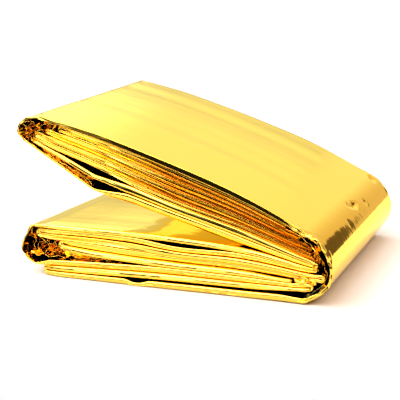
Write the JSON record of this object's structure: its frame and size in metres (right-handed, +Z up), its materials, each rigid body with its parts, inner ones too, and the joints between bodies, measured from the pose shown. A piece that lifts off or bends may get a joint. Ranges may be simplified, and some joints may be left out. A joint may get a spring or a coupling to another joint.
{
  "type": "folded emergency foil blanket",
  "caption": "Gold film blanket folded back and forth into a flat packet, lying on its lower half with its upper half opened in a V.",
  "frame": {"origin": "centre of the bounding box at its base, on the surface that the packet rests on", "axes": "+Z up, the packet's shortest extent; +X along the packet towards its round closed end; -Y to the side where the edges of the folds show"},
  "size_m": [0.1174, 0.1, 0.0592],
  "materials": {
    "gold_film": "mirror-bright metallised plastic film, gold, finely creased along its folds"
  },
  "bodies": {
    "root": {"folded_blanket": "gold_film"}
  },
  "joints": []
}
